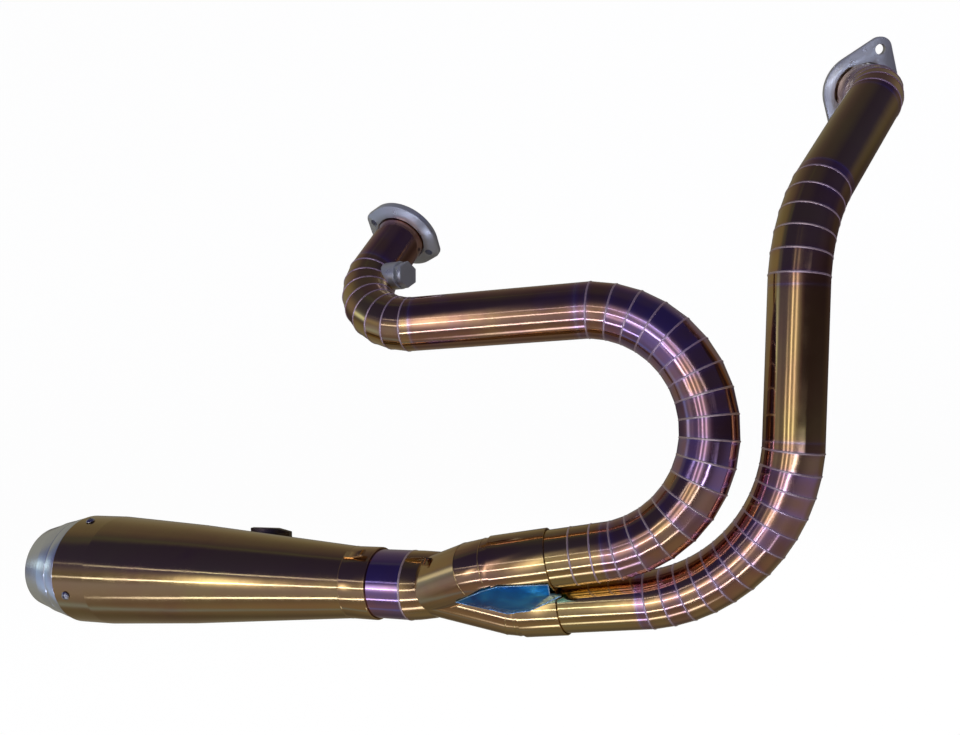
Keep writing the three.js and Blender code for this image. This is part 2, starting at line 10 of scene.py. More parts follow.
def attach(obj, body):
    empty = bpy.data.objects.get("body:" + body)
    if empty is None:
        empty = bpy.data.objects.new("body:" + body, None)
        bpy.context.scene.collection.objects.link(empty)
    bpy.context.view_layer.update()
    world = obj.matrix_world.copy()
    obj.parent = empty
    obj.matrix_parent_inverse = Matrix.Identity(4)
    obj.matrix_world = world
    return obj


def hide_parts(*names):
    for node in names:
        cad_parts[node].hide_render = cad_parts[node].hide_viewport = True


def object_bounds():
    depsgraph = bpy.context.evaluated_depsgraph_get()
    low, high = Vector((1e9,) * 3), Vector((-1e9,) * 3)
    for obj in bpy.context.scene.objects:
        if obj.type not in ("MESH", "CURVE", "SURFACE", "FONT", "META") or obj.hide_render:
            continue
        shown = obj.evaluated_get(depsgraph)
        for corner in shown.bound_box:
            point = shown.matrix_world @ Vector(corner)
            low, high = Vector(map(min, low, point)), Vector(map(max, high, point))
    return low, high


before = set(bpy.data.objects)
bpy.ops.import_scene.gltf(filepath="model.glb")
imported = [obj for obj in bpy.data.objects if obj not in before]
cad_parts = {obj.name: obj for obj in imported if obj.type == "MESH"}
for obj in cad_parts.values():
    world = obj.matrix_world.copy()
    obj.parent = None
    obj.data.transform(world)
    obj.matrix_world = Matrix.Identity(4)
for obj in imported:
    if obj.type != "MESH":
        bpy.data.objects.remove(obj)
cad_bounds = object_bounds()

# ---------------------------------------------------------------- design frame, millimetres
# The same routes as in the CAD part: +X forward on the muffler's axis, origin at the muffler's front edge.
TUBE_R, WALL = 22.225, 1.5
# Each bend: its CAD nodes, radius, angle, roll and number of pie cuts, then the next tube and its length.
REAR = dict(mouth=(159, -15, 29.3), climb=8.3, inboard=6.4, tail=43, mitre=(50, 17), bends=[
    (("u_bend_lower", "u_bend_upper"), 93, 172.7, -4.2, 17, "run_tube", 136),
    (("port_bend",), 56, 105.5, -145.7, 8, "port_stub", 58),
])
FRONT = dict(mouth=(158.5, 17, -13.1), climb=6.3, inboard=-0.2, tail=62.5, mitre=(39, 8), bends=[
    (("lower_bend_aft", "lower_bend_fore"), 132, 79.5, -1.3, 13, "down_tube", 113),
    (("upper_bend",), 117, 44.8, 246, 6, "upper_tube", 104),
    (("port_bend",), 49, 43, -45.4, 4, "port_stub", 34),
])
INSERTION = 32
SLEEVE_R, CONE_FRONT, CONE_MID, CONE_MID_R = 30.4, -25, -190, 44.7
CONE_REAR, BODY_R, SHELL_REAR, BODY_REAR_R, CAP_REAR = -286.5, 50.8, -323.3, 51.0, -373
OUTLET_R, OUTLET_BACK, OUTLET_FRONT = 28.6, -22, 31
LEG_R, SOCKET_R, SOCKET_BORE = 22.8, 24.0, 22.7
MERGE = Vector((46, 0, 0))
SCREW_X, SCREW_ANGLES = -309, (72, 162, 252, 342)
FAR_FROM_WELDS = 40.0
X, Z = Vector((1, 0, 0)), Vector((0, 0, 1))
rnd = random.Random(11)


def route(pipe):
    """Corner points of every section of a head pipe, tail to port."""
    c, i = math.radians(pipe["climb"]), math.radians(pipe["inboard"])
    t = Vector((math.cos(c) * math.cos(i), math.cos(c) * math.sin(i), math.sin(c)))
    n = (Z - t * t.z).normalized()
    mouth = Vector(pipe["mouth"])
    p = mouth + t * pipe["tail"]
    tail = [mouth - t * INSERTION, p.copy()]
    out = {"heading": t.copy(), "mouth": mouth, "sections": [(("slip_tail",), tail)]}
    for names, radius, angle, roll, cuts, then, length in pipe["bends"]:
        q, f = math.radians(angle), math.radians(roll)
        m = n * math.cos(f) + t.cross(n) * math.sin(f)
        centre, start, step = p + m * radius, t.copy(), q / cuts

        def at(a, r):
            return centre - m * (r * math.cos(a)) + start * (r * math.sin(a))

        corners = [at((k + 0.5) * step, radius / math.cos(step / 2)) for k in range(cuts)]
        end = at(q, radius)
        out["sections"].append((names, [p.copy(), *corners, end]))
        n = Matrix.Rotation(q, 3, start.cross(m).normalized()) @ n
        t = start * math.cos(q) + m * math.sin(q)
        p = end + t * length
        out["sections"].append(((then,), [end, p.copy()]))
    out["port"], out["axis"] = p, t
    return out


rear, front = route(REAR), route(FRONT)
ORIGIN = front["port"]
TO_ROW = Matrix.Scale(0.001, 4) @ Matrix.Translation(-ORIGIN)


# ---------------------------------------------------------------- mesh helpers
def finish_mesh(mesh, smooth):
    """Into the shared frame and the CAD model's box, smooth but for mitres or edges over smooth degrees."""
    mesh.transform(TO_ROW)
    for vertex in mesh.vertices:
        vertex.co = [min(max(c, lowest), highest) for c, lowest, highest in zip(vertex.co, *cad_bounds)]
    mesh.update()
    mesh.shade_smooth()
    corner_rings = mesh.attributes.get("corner_ring")
    if not corner_rings:
        mesh.set_sharp_from_angle(angle=math.radians(smooth))
        return
    ring = [d.value for d in corner_rings.data]
    for edge in mesh.edges:
        i, j = edge.vertices
        edge.use_edge_sharp = ring[i] >= 0 and ring[i] == ring[j]


def piece(name, mesh, body, material, slot, *nodes, smooth=35):
    """Adds a piece that rides on a body and takes the place of the given CAD nodes."""
    finish_mesh(mesh, smooth)
    obj = bpy.data.objects.new(name, mesh)
    bpy.context.scene.collection.objects.link(obj)
    obj.data.materials.clear()
    obj.data.materials.append(material)
    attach(obj, body)
    if nodes:
        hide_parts(*nodes)
    return obj


def set_values(mesh, key, values, domain="POINT"):
    mesh.attributes.new(key, "FLOAT", domain).data.foreach_set("value", values)


def mesh_from(verts, faces, hw=None, face_tones=None):
    """A mesh with hw, the distance in mm to the nearest weld, and tone, its place on the scale of colours.

    The tone is given for each face, or is the same all over."""
    mesh = bpy.data.meshes.new("mesh")
    mesh.from_pydata([tuple(v) for v in verts], [], faces)
    set_values(mesh, "hw", hw or [FAR_FROM_WELDS] * len(verts))
    if face_tones:
        set_values(mesh, "tone", face_tones, "FACE")
    else:
        set_values(mesh, "tone", [0.3] * len(verts))
    return mesh


def frame_at(t):
    """Two unit vectors square to t and to each other."""
    e1 = Z - t * Z.dot(t)
    if e1.length < 1e-3:
        e1 = X - t * X.dot(t)
    e1.normalize()
    return e1, t.cross(e1)


def pie_rings(points, radius, sides):
    """For each slice of a mitred tube along the points: its number, its first ring and its last ring."""
    dirs = [(b - a).normalized() for a, b in zip(points, points[1:])]
    planes = [dirs[0]] + [(a + b).normalized() for a, b in zip(dirs, dirs[1:])] + [dirs[-1]]
    e1 = frame_at(dirs[0])[0]
    rings = []
    for k, d in enumerate(dirs):
        if k:
            e1 = dirs[k - 1].rotation_difference(d) @ e1
        e1 = (e1 - d * e1.dot(d)).normalized()
        e2 = d.cross(e1)
        a, b = points[k], points[k + 1]

        def cut(corner, plane):
            ring = []
            for s in range(sides):
                w = 2 * math.pi * s / sides
                o = a + (e1 * math.cos(w) + e2 * math.sin(w)) * radius
                ring.append(o + d * ((corner - o).dot(plane) / d.dot(plane)))
            return ring

        rings.append((k, cut(a, planes[k]), cut(b, planes[k + 1])))
    return rings


def pie_tube(points, outer, inner, tone, seed, sides=96):
    """Closed mitred tube with its wall. Each slice of a bend gets a tone a little off the given one."""
    verts, faces, hw, tones, ring_of = [], [], [], [], []
    walls = []
    for wall, radius in enumerate((outer, inner)):
        ring_ids = []
        for k, start, end in pie_rings(points, radius, sides):
            rings = [start, [(p + q) / 2 for p, q in zip(start, end)], end]
            for n, ring in list(enumerate(rings))[1 if k else 0:]:
                ring_ids.append(len(verts))
                verts += ring
                hw += [(q - p).length / 2 if n == 1 else 0.0 for p, q in zip(start, end)]
                ring_of += [-1 if n == 1 else len(ring_ids) + 1000 * wall] * sides
        walls.append(ring_ids)
    for wall, ring_ids in enumerate(walls):
        for r, (a, b) in enumerate(zip(ring_ids, ring_ids[1:])):
            value = tone
            if len(points) > 2:
                value += random.Random(seed * 97 + r // 2).uniform(-0.22, 0.22)
            for s in range(sides):
                t = (s + 1) % sides
                quad = (a + s, a + t, b + t, b + s)
                faces.append(quad if wall == 0 else quad[::-1])
                tones.append(value)
    for a, b, flip in ((walls[0][0], walls[1][0], True), (walls[0][-1], walls[1][-1], False)):
        for s in range(sides):
            t = (s + 1) % sides
            quad = (a + s, a + t, b + t, b + s)
            faces.append(quad[::-1] if flip else quad)
            tones.append(tone)
    mesh = mesh_from(verts, faces, hw, tones)
    mesh.attributes.new("corner_ring", "INT", "POINT").data.foreach_set("value", ring_of)
    return mesh


def bead_ring(points_on, normals, along, width, height):
    """Closed bead along a closed line of points; normals point off the surface, along is across the bead."""
    sides, ripple, pitch = 8, 0.12, 1.5
    verts, faces = [], []
    n = len(points_on)
    travelled = 0
    for k in range(n):
        p, u, v = points_on[k], normals[k], along[k]
        travelled += (points_on[k] - points_on[k - 1]).length if k else 0
        swell = 1 + ripple * math.sin(2 * math.pi * travelled / pitch) + rnd.uniform(-0.06, 0.06)
        for s in range(sides):
            w = 2 * math.pi * s / sides
            sideways = math.cos(w) * width * (0.95 + 0.1 * rnd.random())
            verts.append(p + v * sideways + u * (math.sin(w) * height * swell))
    for k in range(n):
        a, b = k * sides, ((k + 1) % n) * sides
        for s in range(sides):
            t = (s + 1) % sides
            faces.append((a + s, b + s, b + t, a + t))
    return verts, faces


def beads_at(rings, count=132, width=0.72, height=0.34):
    """Beads round a tube. rings: (centre, plane normal, tube direction, radius)."""
    verts, faces = [], []
    for centre, plane, d, radius in rings:
        e1, e2 = frame_at(d)
        line, up, across = [], [], []
        for k in range(count):
            w = 2 * math.pi * k / count
            radial = e1 * math.cos(w) + e2 * math.sin(w)
            o = centre + radial * radius
            line.append(o + d * ((centre - o).dot(plane) / d.dot(plane)))
            up.append((radial - plane * radial.dot(plane)).normalized())
            across.append(plane)
        v, f = bead_ring(line, up, across, width, height)
        base = len(verts)
        verts += v
        faces += [tuple(i + base for i in face) for face in f]
    return mesh_from(verts, faces)


def lathe(profile, sides, axis_from=None, axis_to=None):
    """Closed (x, radius) profile turned about X, or about the line from axis_from to axis_to."""
    area = sum(a[0] * b[1] - b[0] * a[1] for a, b in zip(profile, profile[1:] + profile[:1]))
    if area > 0:
        profile = profile[::-1]
    verts, faces, rows = [], [], []
    for x, r in profile:
        if r < 1e-6:
            rows.append([len(verts)] * sides)
            verts.append(Vector((x, 0, 0)))
        else:
            rows.append(list(range(len(verts), len(verts) + sides)))
            turns = [2 * math.pi * s / sides for s in range(sides)]
            verts += [Vector((x, -r * math.cos(w), r * math.sin(w))) for w in turns]
    for a, b in zip(rows, rows[1:] + rows[:1]):
        for s in range(sides):
            t = (s + 1) % sides
            quad = []
            for i in (a[s], b[s], b[t], a[t]):
                if i not in quad:
                    quad.append(i)
            if len(quad) > 2:
                faces.append(tuple(quad))
    mesh = mesh_from(verts, faces)
    if axis_from is not None:
        d = (axis_to - axis_from).normalized()
        mesh.transform(Matrix.Translation(axis_from) @ X.rotation_difference(d).to_matrix().to_4x4())
    return mesh


def rounded(corner, before, after, radius, steps=4):
    """Points that round off one corner of a profile."""
    p, a, b = Vector(corner), Vector(before), Vector(after)
    u, v = (a - p).normalized(), (b - p).normalized()
    half = math.acos(max(-1, min(1, u.dot(v)))) / 2
    reach = min(radius / math.tan(half), 0.45 * (a - p).length, 0.45 * (b - p).length)
    r = reach * math.tan(half)
    centre = p + (u + v).normalized() * (r / math.sin(half))
    start, end = p + u * reach, p + v * reach
    s0 = math.atan2(*(start - centre).yx)
    s1 = math.atan2(*(end - centre).yx)
    turn = (s1 - s0 + math.pi) % (2 * math.pi) - math.pi
    return [tuple(centre + Vector((math.cos(s0 + turn * k / steps), math.sin(s0 + turn * k / steps))) * r)
            for k in range(steps + 1)]


def round_profile(points, radii):
    """A closed profile with its corners rounded; radii gives one number for each corner, 0 for sharp."""
    out = []
    for k, (p, r) in enumerate(zip(points, radii)):
        if r:
            out += rounded(p, points[k - 1], points[(k + 1) % len(points)], r)
        else:
            out.append(tuple(p))
    return out


def temp_object(mesh):
    obj = bpy.data.objects.new("temp", mesh)
    bpy.context.scene.collection.objects.link(obj)
    return obj


def boolean(mesh, cutters, operation="DIFFERENCE"):
    """mesh with each cutter taken away or added, as a new mesh."""
    obj = temp_object(mesh)
    made = []
    for cutter in cutters:
        c = temp_object(cutter)
        made.append(c)
        m = obj.modifiers.new("b", "BOOLEAN")
        m.operation, m.solver, m.object = operation, "EXACT", c
    bpy.context.view_layer.update()
    evaluated = obj.evaluated_get(bpy.context.evaluated_depsgraph_get())
    result = bpy.data.meshes.new_from_object(evaluated)
    for o in [obj, *made]:
        bpy.data.objects.remove(o)
    return result


def cad_copy(node, bevel, segments):
    """The CAD node's mesh in the design frame, its flat faces joined up and its edges rounded."""
    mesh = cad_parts[node].data.copy()
    mesh.transform(TO_ROW.inverted())
    bm = bmesh.new()
    bm.from_mesh(mesh)
    bmesh.ops.remove_doubles(bm, verts=bm.verts, dist=0.01)
    bmesh.ops.dissolve_limit(bm, angle_limit=math.radians(2), verts=bm.verts, edges=bm.edges)
    edges = [e for e in bm.edges if len(e.link_faces) == 2 and e.calc_face_angle(0) > math.radians(30)]
    bmesh.ops.bevel(bm, geom=edges, offset=bevel, segments=segments, affect="EDGES", clamp_overlap=True)
    bm.to_mesh(mesh)
    bm.free()
    mesh.materials.clear()
    return mesh


# ---------------------------------------------------------------- materials
class Nodes:
    """A small helper to write node trees in a few lines."""

    def __init__(self, name):
        self.material = bpy.data.materials.new(name)
        self.material.use_nodes = True
        self.tree = self.material.node_tree
        self.tree.nodes.clear()
        self.bsdf = self.add("ShaderNodeBsdfPrincipled")
        out = self.add("ShaderNodeOutputMaterial")
        self.tree.links.new(self.bsdf.outputs[0], out.inputs[0])

    def add(self, kind, inputs=None, **settings):
        node = self.tree.nodes.new(kind)
        for key, value in settings.items():
            setattr(node, key, value)
        for key, value in (inputs or {}).items():
            self.put(node.inputs[key], value)
        return node

    def put(self, socket, value):
        if isinstance(value, bpy.types.NodeSocket):
            self.tree.links.new(value, socket)
        else:
            socket.default_value = value

    def math(self, op, a, b=0.0, c=0.0):
        node = self.add("ShaderNodeMath", operation=op)
        for socket, value in zip(node.inputs, (a, b, c)):
            self.put(socket, value)
        return node.outputs[0]

    def attribute(self, name):
        return self.add("ShaderNodeAttribute", attribute_name=name).outputs["Fac"]

    def coords(self, scale=(1, 1, 1)):
        tex = self.add("ShaderNodeTexCoord")
        return self.add("ShaderNodeMapping", {"Vector": tex.outputs["Object"], "Scale": scale}).outputs[0]

    def noise(self, scale, detail=3.0, stretch=(1, 1, 1), distortion=0.0):
        node = self.add("ShaderNodeTexNoise", {
            "Vector": self.coords(stretch), "Scale": scale, "Detail": detail, "Roughness": 0.5,
            "Distortion": distortion})
        return node.outputs["Fac"]

    def ramp(self, fac, stops):
        node = self.add("ShaderNodeValToRGB", {"Fac": fac})
        els = node.color_ramp.elements
        while len(els) < len(stops):
            els.new(0.5)
        for el, (position, colour) in zip(els, stops):
            el.position = position
            el.color = (*colour, 1)
        return node.outputs[0]

    def put_colour(self, socket, value):
        self.put(socket, value if isinstance(value, bpy.types.NodeSocket) else (*value, 1))

    def mix(self, fac, a, b):
        node = self.add("ShaderNodeMix", data_type="RGBA")
        self.put(node.inputs[0], fac)
        self.put_colour(node.inputs[6], a)
        self.put_colour(node.inputs[7], b)
        return node.outputs[2]

    def map(self, value, a, b, c, d):
        node = self.add("ShaderNodeMapRange")
        for socket, v in zip(node.inputs, (value, a, b, c, d)):
            self.put(socket, v)
        return node.outputs[0]

    def bump(self, height, strength, distance=0.001, normal=None):
        node = self.add("ShaderNodeBump", {"Height": height, "Strength": strength, "Distance": distance})
        if normal is not None:
            self.put(node.inputs["Normal"], normal)
        return node.outputs[0]

    def metal(self, colour, roughness, normal=None, metallic=1.0):
        self.put(self.bsdf.inputs["Metallic"], metallic)
        self.put_colour(self.bsdf.inputs["Base Color"], colour)
        self.put(self.bsdf.inputs["Roughness"], roughness)
        if normal is not None:
            self.put(self.bsdf.inputs["Normal"], normal)
        return self.material


GOLD, BRONZE, MAROON = (0.68, 0.50, 0.19), (0.66, 0.43, 0.19), (0.56, 0.31, 0.20)
PURPLE, INDIGO = (0.52, 0.30, 0.40), (0.42, 0.28, 0.50)
BEAD = (0.92, 0.70, 0.66)


def heat_tint():
    """Polished steel with the oxide colours that heat leaves: tone 0 is straw gold, 1 is indigo."""
    n = Nodes("heat_tinted_steel")
    near = n.math("POWER", 2.718, n.math("MULTIPLY", n.attribute("hw"), -0.42))
    patches = n.math("MULTIPLY_ADD", n.noise(9, 3, distortion=0.5), 1.1, -0.55)
    fine = n.math("MULTIPLY_ADD", n.noise(55, 3), 0.3, -0.15)
    shift = n.math("ADD", fine, n.math("MULTIPLY", near, 0.3))
    tone = n.math("ADD", n.math("ADD", n.attribute("tone"), patches), shift)
    film = n.ramp(tone, [(0.0, GOLD), (0.3, BRONZE), (0.55, MAROON), (0.8, PURPLE), (1.0, INDIGO)])
    edge = n.math("POWER", 2.718, n.math("MULTIPLY", n.attribute("hw"), -1.6))
    colour = n.mix(n.math("MULTIPLY", edge, 0.7), film, BEAD)
    rough = n.map(n.noise(60, 4), 0.3, 0.75, 0.07, 0.14)
    normal = n.bump(n.noise(45, 2), 0.10, 0.001, n.bump(n.noise(900, 2), 0.03, 0.0002))
    return n.metal(colour, rough, normal)


def plain_metal(name, colour, low, high, scale, bump, tint=None, metallic=1.0):
    """Slightly uneven metal with roughness from low to high, and patches of the colour tint if given."""
    n = Nodes(name)
    tone = n.noise(scale, 4)
    dark = tuple(c * 0.78 for c in colour)
    shade = n.mix(tone, colour, dark)
    if tint:
        shade = n.mix(n.map(n.noise(9, 2, distortion=0.5), 0.42, 0.62, 0, 1), shade, tint)
    return n.metal(shade, n.map(n.noise(scale * 2, 3), 0.3, 0.7, low, high),
                   n.bump(tone, bump, 0.0006), metallic)


tint = heat_tint()
bead_metal = plain_metal("bead_metal", (0.86, 0.66, 0.62), 0.25, 0.42, 300, 0.2,
                         tint=(0.72, 0.52, 0.66), metallic=0.88)
steel = plain_metal("bare_steel_look", (0.68, 0.70, 0.72), 0.25, 0.4, 60, 0.08, metallic=0.8)
dark_steel = plain_metal("bracket_look", (0.25, 0.21, 0.14), 0.3, 0.5, 60, 0.1, tint=(0.3, 0.2, 0.22))
screw_steel = plain_metal("screw_look", (0.7, 0.7, 0.7), 0.12, 0.25, 200, 0.03)
core_steel = plain_metal("core_look", (0.28, 0.26, 0.24), 0.35, 0.55, 120, 0.1)


def turned_aluminium():
    n = Nodes("turned_aluminium")
    lines = n.noise(2600, 2, stretch=(1, 0.02, 0.02))
    tone = n.noise(30, 3)
    colour = n.mix(tone, (0.86, 0.90, 0.96), (0.92, 0.95, 0.98))
    return n.metal(colour, n.map(lines, 0.3, 0.7, 0.10, 0.2), n.bump(lines, 0.12, 0.0004), 0.96)


def blued():
    n = Nodes("blued_look")
    tone = n.noise(26, 3, distortion=1.2)
    colour = n.ramp(tone, [(0.34, (0.01, 0.14, 0.50)), (0.5, (0.02, 0.32, 0.80)), (0.64, (0.10, 0.62, 0.95))])
    rough = n.map(n.noise(60, 3), 0.3, 0.7, 0.14, 0.26)
    return n.metal(colour, rough, n.bump(n.noise(60, 3, distortion=0.6), 0.5, 0.0016), 0.8)


def wool():
    n = Nodes("wool_look")
    n.put(n.bsdf.inputs["Base Color"], n.mix(n.noise(200, 4), (0.72, 0.68, 0.55), (0.5, 0.45, 0.33)))
    n.put(n.bsdf.inputs["Roughness"], 0.95)
    return n.material


alu, blue_metal, wool_look = turned_aluminium(), blued(), wool()
weld_blue = plain_metal("weld_blue", (0.55, 0.80, 0.95), 0.2, 0.35, 300, 0.15,
                        tint=(0.25, 0.55, 0.85), metallic=0.8)

# ---------------------------------------------------------------- head pipes
TONES = {
    "rear": {"slip_tail": 0.3, "u_bend_lower": 0.7, "run_tube": 0.5, "port_bend": 0.2, "port_stub": 0.45},
    "front": {"slip_tail": 0.2, "lower_bend_aft": 0.45, "down_tube": 0.3, "upper_bend": 0.4,
              "upper_tube": 0.15, "port_bend": 0.3, "port_stub": 0.4},
}
for side, laid, body in (("rear", rear, "rear_head_pipe"), ("front", front, "front_head_pipe")):
    beads = []
    sections = laid["sections"]
    for k, (names, points) in enumerate(sections):
        d0, d1 = (points[1] - points[0]).normalized(), (points[-1] - points[-2]).normalized()
        drawn = [points[0] + d0 * 0.1, *points[1:-1], points[-1] - d1 * 0.1]
        seed = k + 50 if side == "front" else k
        mesh = pie_tube(drawn, TUBE_R, TUBE_R - WALL, TONES[side][names[0]], seed)
        nodes = [f"{side}_{name}" for name in names]
        piece(f"{nodes[0]}_skin", mesh, body, tint, "tinted_steel", *nodes)
        dirs = [(b - a).normalized() for a, b in zip(points, points[1:])]
        for a, b, corner in zip(dirs, dirs[1:], points[1:-1]):
            beads.append((corner, (a + b).normalized(), a, TUBE_R))
    if side == "rear":
        tail_end, d = sections[0][1][1], laid["heading"]
        beads += [(tail_end - d * (k * 16.2 - 8), d, d, TUBE_R) for k in (1, 2)]
    piece(f"{side}_weld_beads", beads_at(beads), body, bead_metal, "tinted_steel", smooth=60)

# ---------------------------------------------------------------- port flanges, rings, bung
# The way to one ear, then the hub's radius, the ears' radius and distance from the middle, the holes' radius.
FLANGE_SHAPE = {
    "rear": ((0.802, 0.315, -0.508), 34, 8.5, 28.5, 3.4),
    "front": ((0.453, -0.191, 0.871), 31.6, 10.2, 35.5, 4.4),
}


def flange_outline(hub, ear_r, ear_at, count=40):
    lean = math.acos((hub - ear_r) / ear_at)
    arcs = [(ear_at, ear_r, -lean, lean), (0, hub, lean, math.pi - lean),
            (-ear_at, ear_r, math.pi - lean, math.pi + lean), (0, hub, math.pi + lean, 2 * math.pi - lean)]
    out = []
    for cx, r, a0, a1 in arcs:
        angles = [a0 + (a1 - a0) * k / count for k in range(count)]
        out += [Vector((cx + r * math.cos(w), r * math.sin(w))) for w in angles]
    return out


def flange_mesh(laid, shape):
    """Loose flange: flat on the port side, softly domed on the pipe side, edges rounded."""
    toward, hub, ear_r, ear_at, hole_r = shape
    outline = flange_outline(hub, ear_r, ear_at)
    bore, ring_seat, thick, face = 23.2, 24.7, 9.0, -2.0
    back = face - thick
    rows = []

    def ring(f, z):
        """A loop at height z, f of the way from the outline to the bore."""
        rows.append([(p.x * (1 - f) + bore * p.x / p.length * f, p.y * (1 - f) + bore * p.y / p.length * f, z)
                     for p in outline])

    def circle(radius, z):
        rows.append([(p.x / p.length * radius, p.y / p.length * radius, z) for p in outline])

    for f, z in ((0.0, face - 1.2), (0.02, face - 0.4), (0.06, face), (0.9, face)):
        ring(f, z)
    circle(ring_seat, face)
    circle(ring_seat, face - 4)
    circle(bore, face - 4)
    circle(bore, back + 0.5)
    for f, rise in ((0.96, 0), (0.7, 0.25), (0.45, 1.1), (0.25, 2.1), (0.1, 2.8), (0.03, 3.3), (0.0, 4.1)):
        ring(f, back + rise)
    verts = [Vector(v) for row in rows for v in row]
    n = len(outline)
    faces = []
    for a in range(len(rows)):
        b = (a + 1) % len(rows)
        for s in range(n):
            t = (s + 1) % n
            faces.append((a * n + s, a * n + t, b * n + t, b * n + s))
    z = laid["axis"]
    x = Vector(toward)
    x = (x - z * x.dot(z)).normalized()
    place = Matrix.Translation(laid["port"]) @ Matrix((x, z.cross(x), z)).transposed().to_4x4()
    mesh = mesh_from(verts, faces)
    bm = bmesh.new()
    bm.from_mesh(mesh)
    bmesh.ops.recalc_face_normals(bm, faces=bm.faces)
    bm.to_mesh(mesh)
    bm.free()
    cutters = []
    for cx in (-ear_at, ear_at):
        hole = lathe([(-20, 0), (-20, hole_r), (5, hole_r), (5, 0)], 40)
        hole.transform(Matrix.Translation((cx, 0, 0)) @ Matrix.Rotation(-math.pi / 2, 4, "Y"))
        cutters.append(hole)
    mesh = boolean(mesh, cutters)
    mesh.transform(place)
    return mesh


for side, laid in (("rear", rear), ("front", front)):
    piece(f"{side}_flange_look", flange_mesh(laid, FLANGE_SHAPE[side]), f"{side}_flange", steel, "bare_steel",
          f"{side}_flange", smooth=32)
    section = round_profile([(-5.7, 22.6), (-5.7, 24.3), (-2.7, 24.3), (-2.7, 22.6)], (0, 0.5, 0.5, 0))
    ring = lathe(section, 96, laid["port"], laid["port"] + laid["axis"])
    piece(f"{side}_ring_look", ring, f"{side}_head_pipe", steel, "bare_steel", f"{side}_retaining_ring",
          smooth=40)

stub = rear["sections"][-1][1]
stub_t = (stub[1] - stub[0]).normalized()
bung_axis = Vector((0.96, -0.26, -0.04))
bung_axis = (bung_axis - stub_t * bung_axis.dot(stub_t)).normalized()
bung_base = stub[0] - stub_t * 8
profile = round_profile([(17, 0), (17, 12), (35, 12), (35, 9), (20, 9), (20, 0)], (0, 0, 0.8, 0.6, 0, 0))
bung = lathe(profile, 72, bung_base, bung_base + bung_axis)
piece("rear_sensor_bung_look", bung, "rear_head_pipe", steel, "bare_steel", "rear_sensor_bung", smooth=30)
plug = cad_copy("rear_sensor_plug", 0.7, 3)
piece("rear_sensor_plug_look", plug, "rear_head_pipe", steel, "bare_steel", "rear_sensor_plug", smooth=40)


# ---------------------------------------------------------------- collector
def leg_points(laid, pipe, extend=0.0):
    """Corner points of one leg, from its mouth back to where both legs meet."""
    back = -laid["heading"]
    at, length = pipe["mitre"]
    first = laid["mouth"] + back * at
    half = (back + (MERGE - first).normalized()).normalized()
    second = first + half * length
    home = (MERGE - second).normalized()
    return [laid["mouth"] + back * (at - 4 - extend), first, second, MERGE + home * 6]


def solid_leg(points, radius, sides=96):
    """Solid mitred bar along the points."""
    verts, faces, ids = [], [], []
    for k, start, end in pie_rings(points, radius, sides):
        for ring in ([start, end] if k == 0 else [end]):
            ids.append(len(verts))
            verts += ring
    for a, b in zip(ids, ids[1:]):
        for s in range(sides):
            t = (s + 1) % sides
            faces.append((a + s, a + t, b + t, b + s))
    faces.append(tuple(range(ids[0], ids[0] + sides))[::-1])
    faces.append(tuple(range(ids[-1], ids[-1] + sides)))
    return mesh_from(verts, faces)


def merge_mesh():
    """Both legs and the short cone that joins them to the outlet tube, hollow and open at all three ends."""
    def cone(wall, beyond):
        r = OUTLET_R - wall
        start = OUTLET_FRONT + 0.15 - beyond
        end = OUTLET_FRONT + 36
        mesh = lathe([(start, 0), (start, r), (OUTLET_FRONT + 8, r - 0.3), (OUTLET_FRONT + 20, r - 1.5),
                      (OUTLET_FRONT + 29, r - 4.2), (end, LEG_R - 5 - wall), (end, 0)], 120)
        for v in mesh.vertices:
            v.co.y += max(0, v.co.x - OUTLET_FRONT - 2) * 0.34
        return mesh

    legs = [(rear, REAR), (front, FRONT)]
    outer = boolean(cone(0, 0), [solid_leg(leg_points(*leg), LEG_R) for leg in legs], "UNION")
    inner = boolean(cone(WALL, 4), [solid_leg(leg_points(*leg, 3), LEG_R - WALL) for leg in legs], "UNION")
    behind = lathe([(-40, 0), (-40, 60), (OUTLET_FRONT + 0.15, 60), (OUTLET_FRONT + 0.15, 0)], 24)
    return boolean(outer, [inner, behind])


def toned(mesh, tone, welds=()):
    """Sets tone and hw, here the distance in mm to the nearest weld plane. Planes are (point, normal)."""
    for key in ("hw", "tone"):
        if key in mesh.attributes:
            mesh.attributes.remove(mesh.attributes[key])
    hw = [min([abs((v.co - p).dot(n)) for p, n in welds], default=FAR_FROM_WELDS) for v in mesh.vertices]
    set_values(mesh, "hw", hw)
    set_values(mesh, "tone", [tone] * len(mesh.vertices))
    return mesh


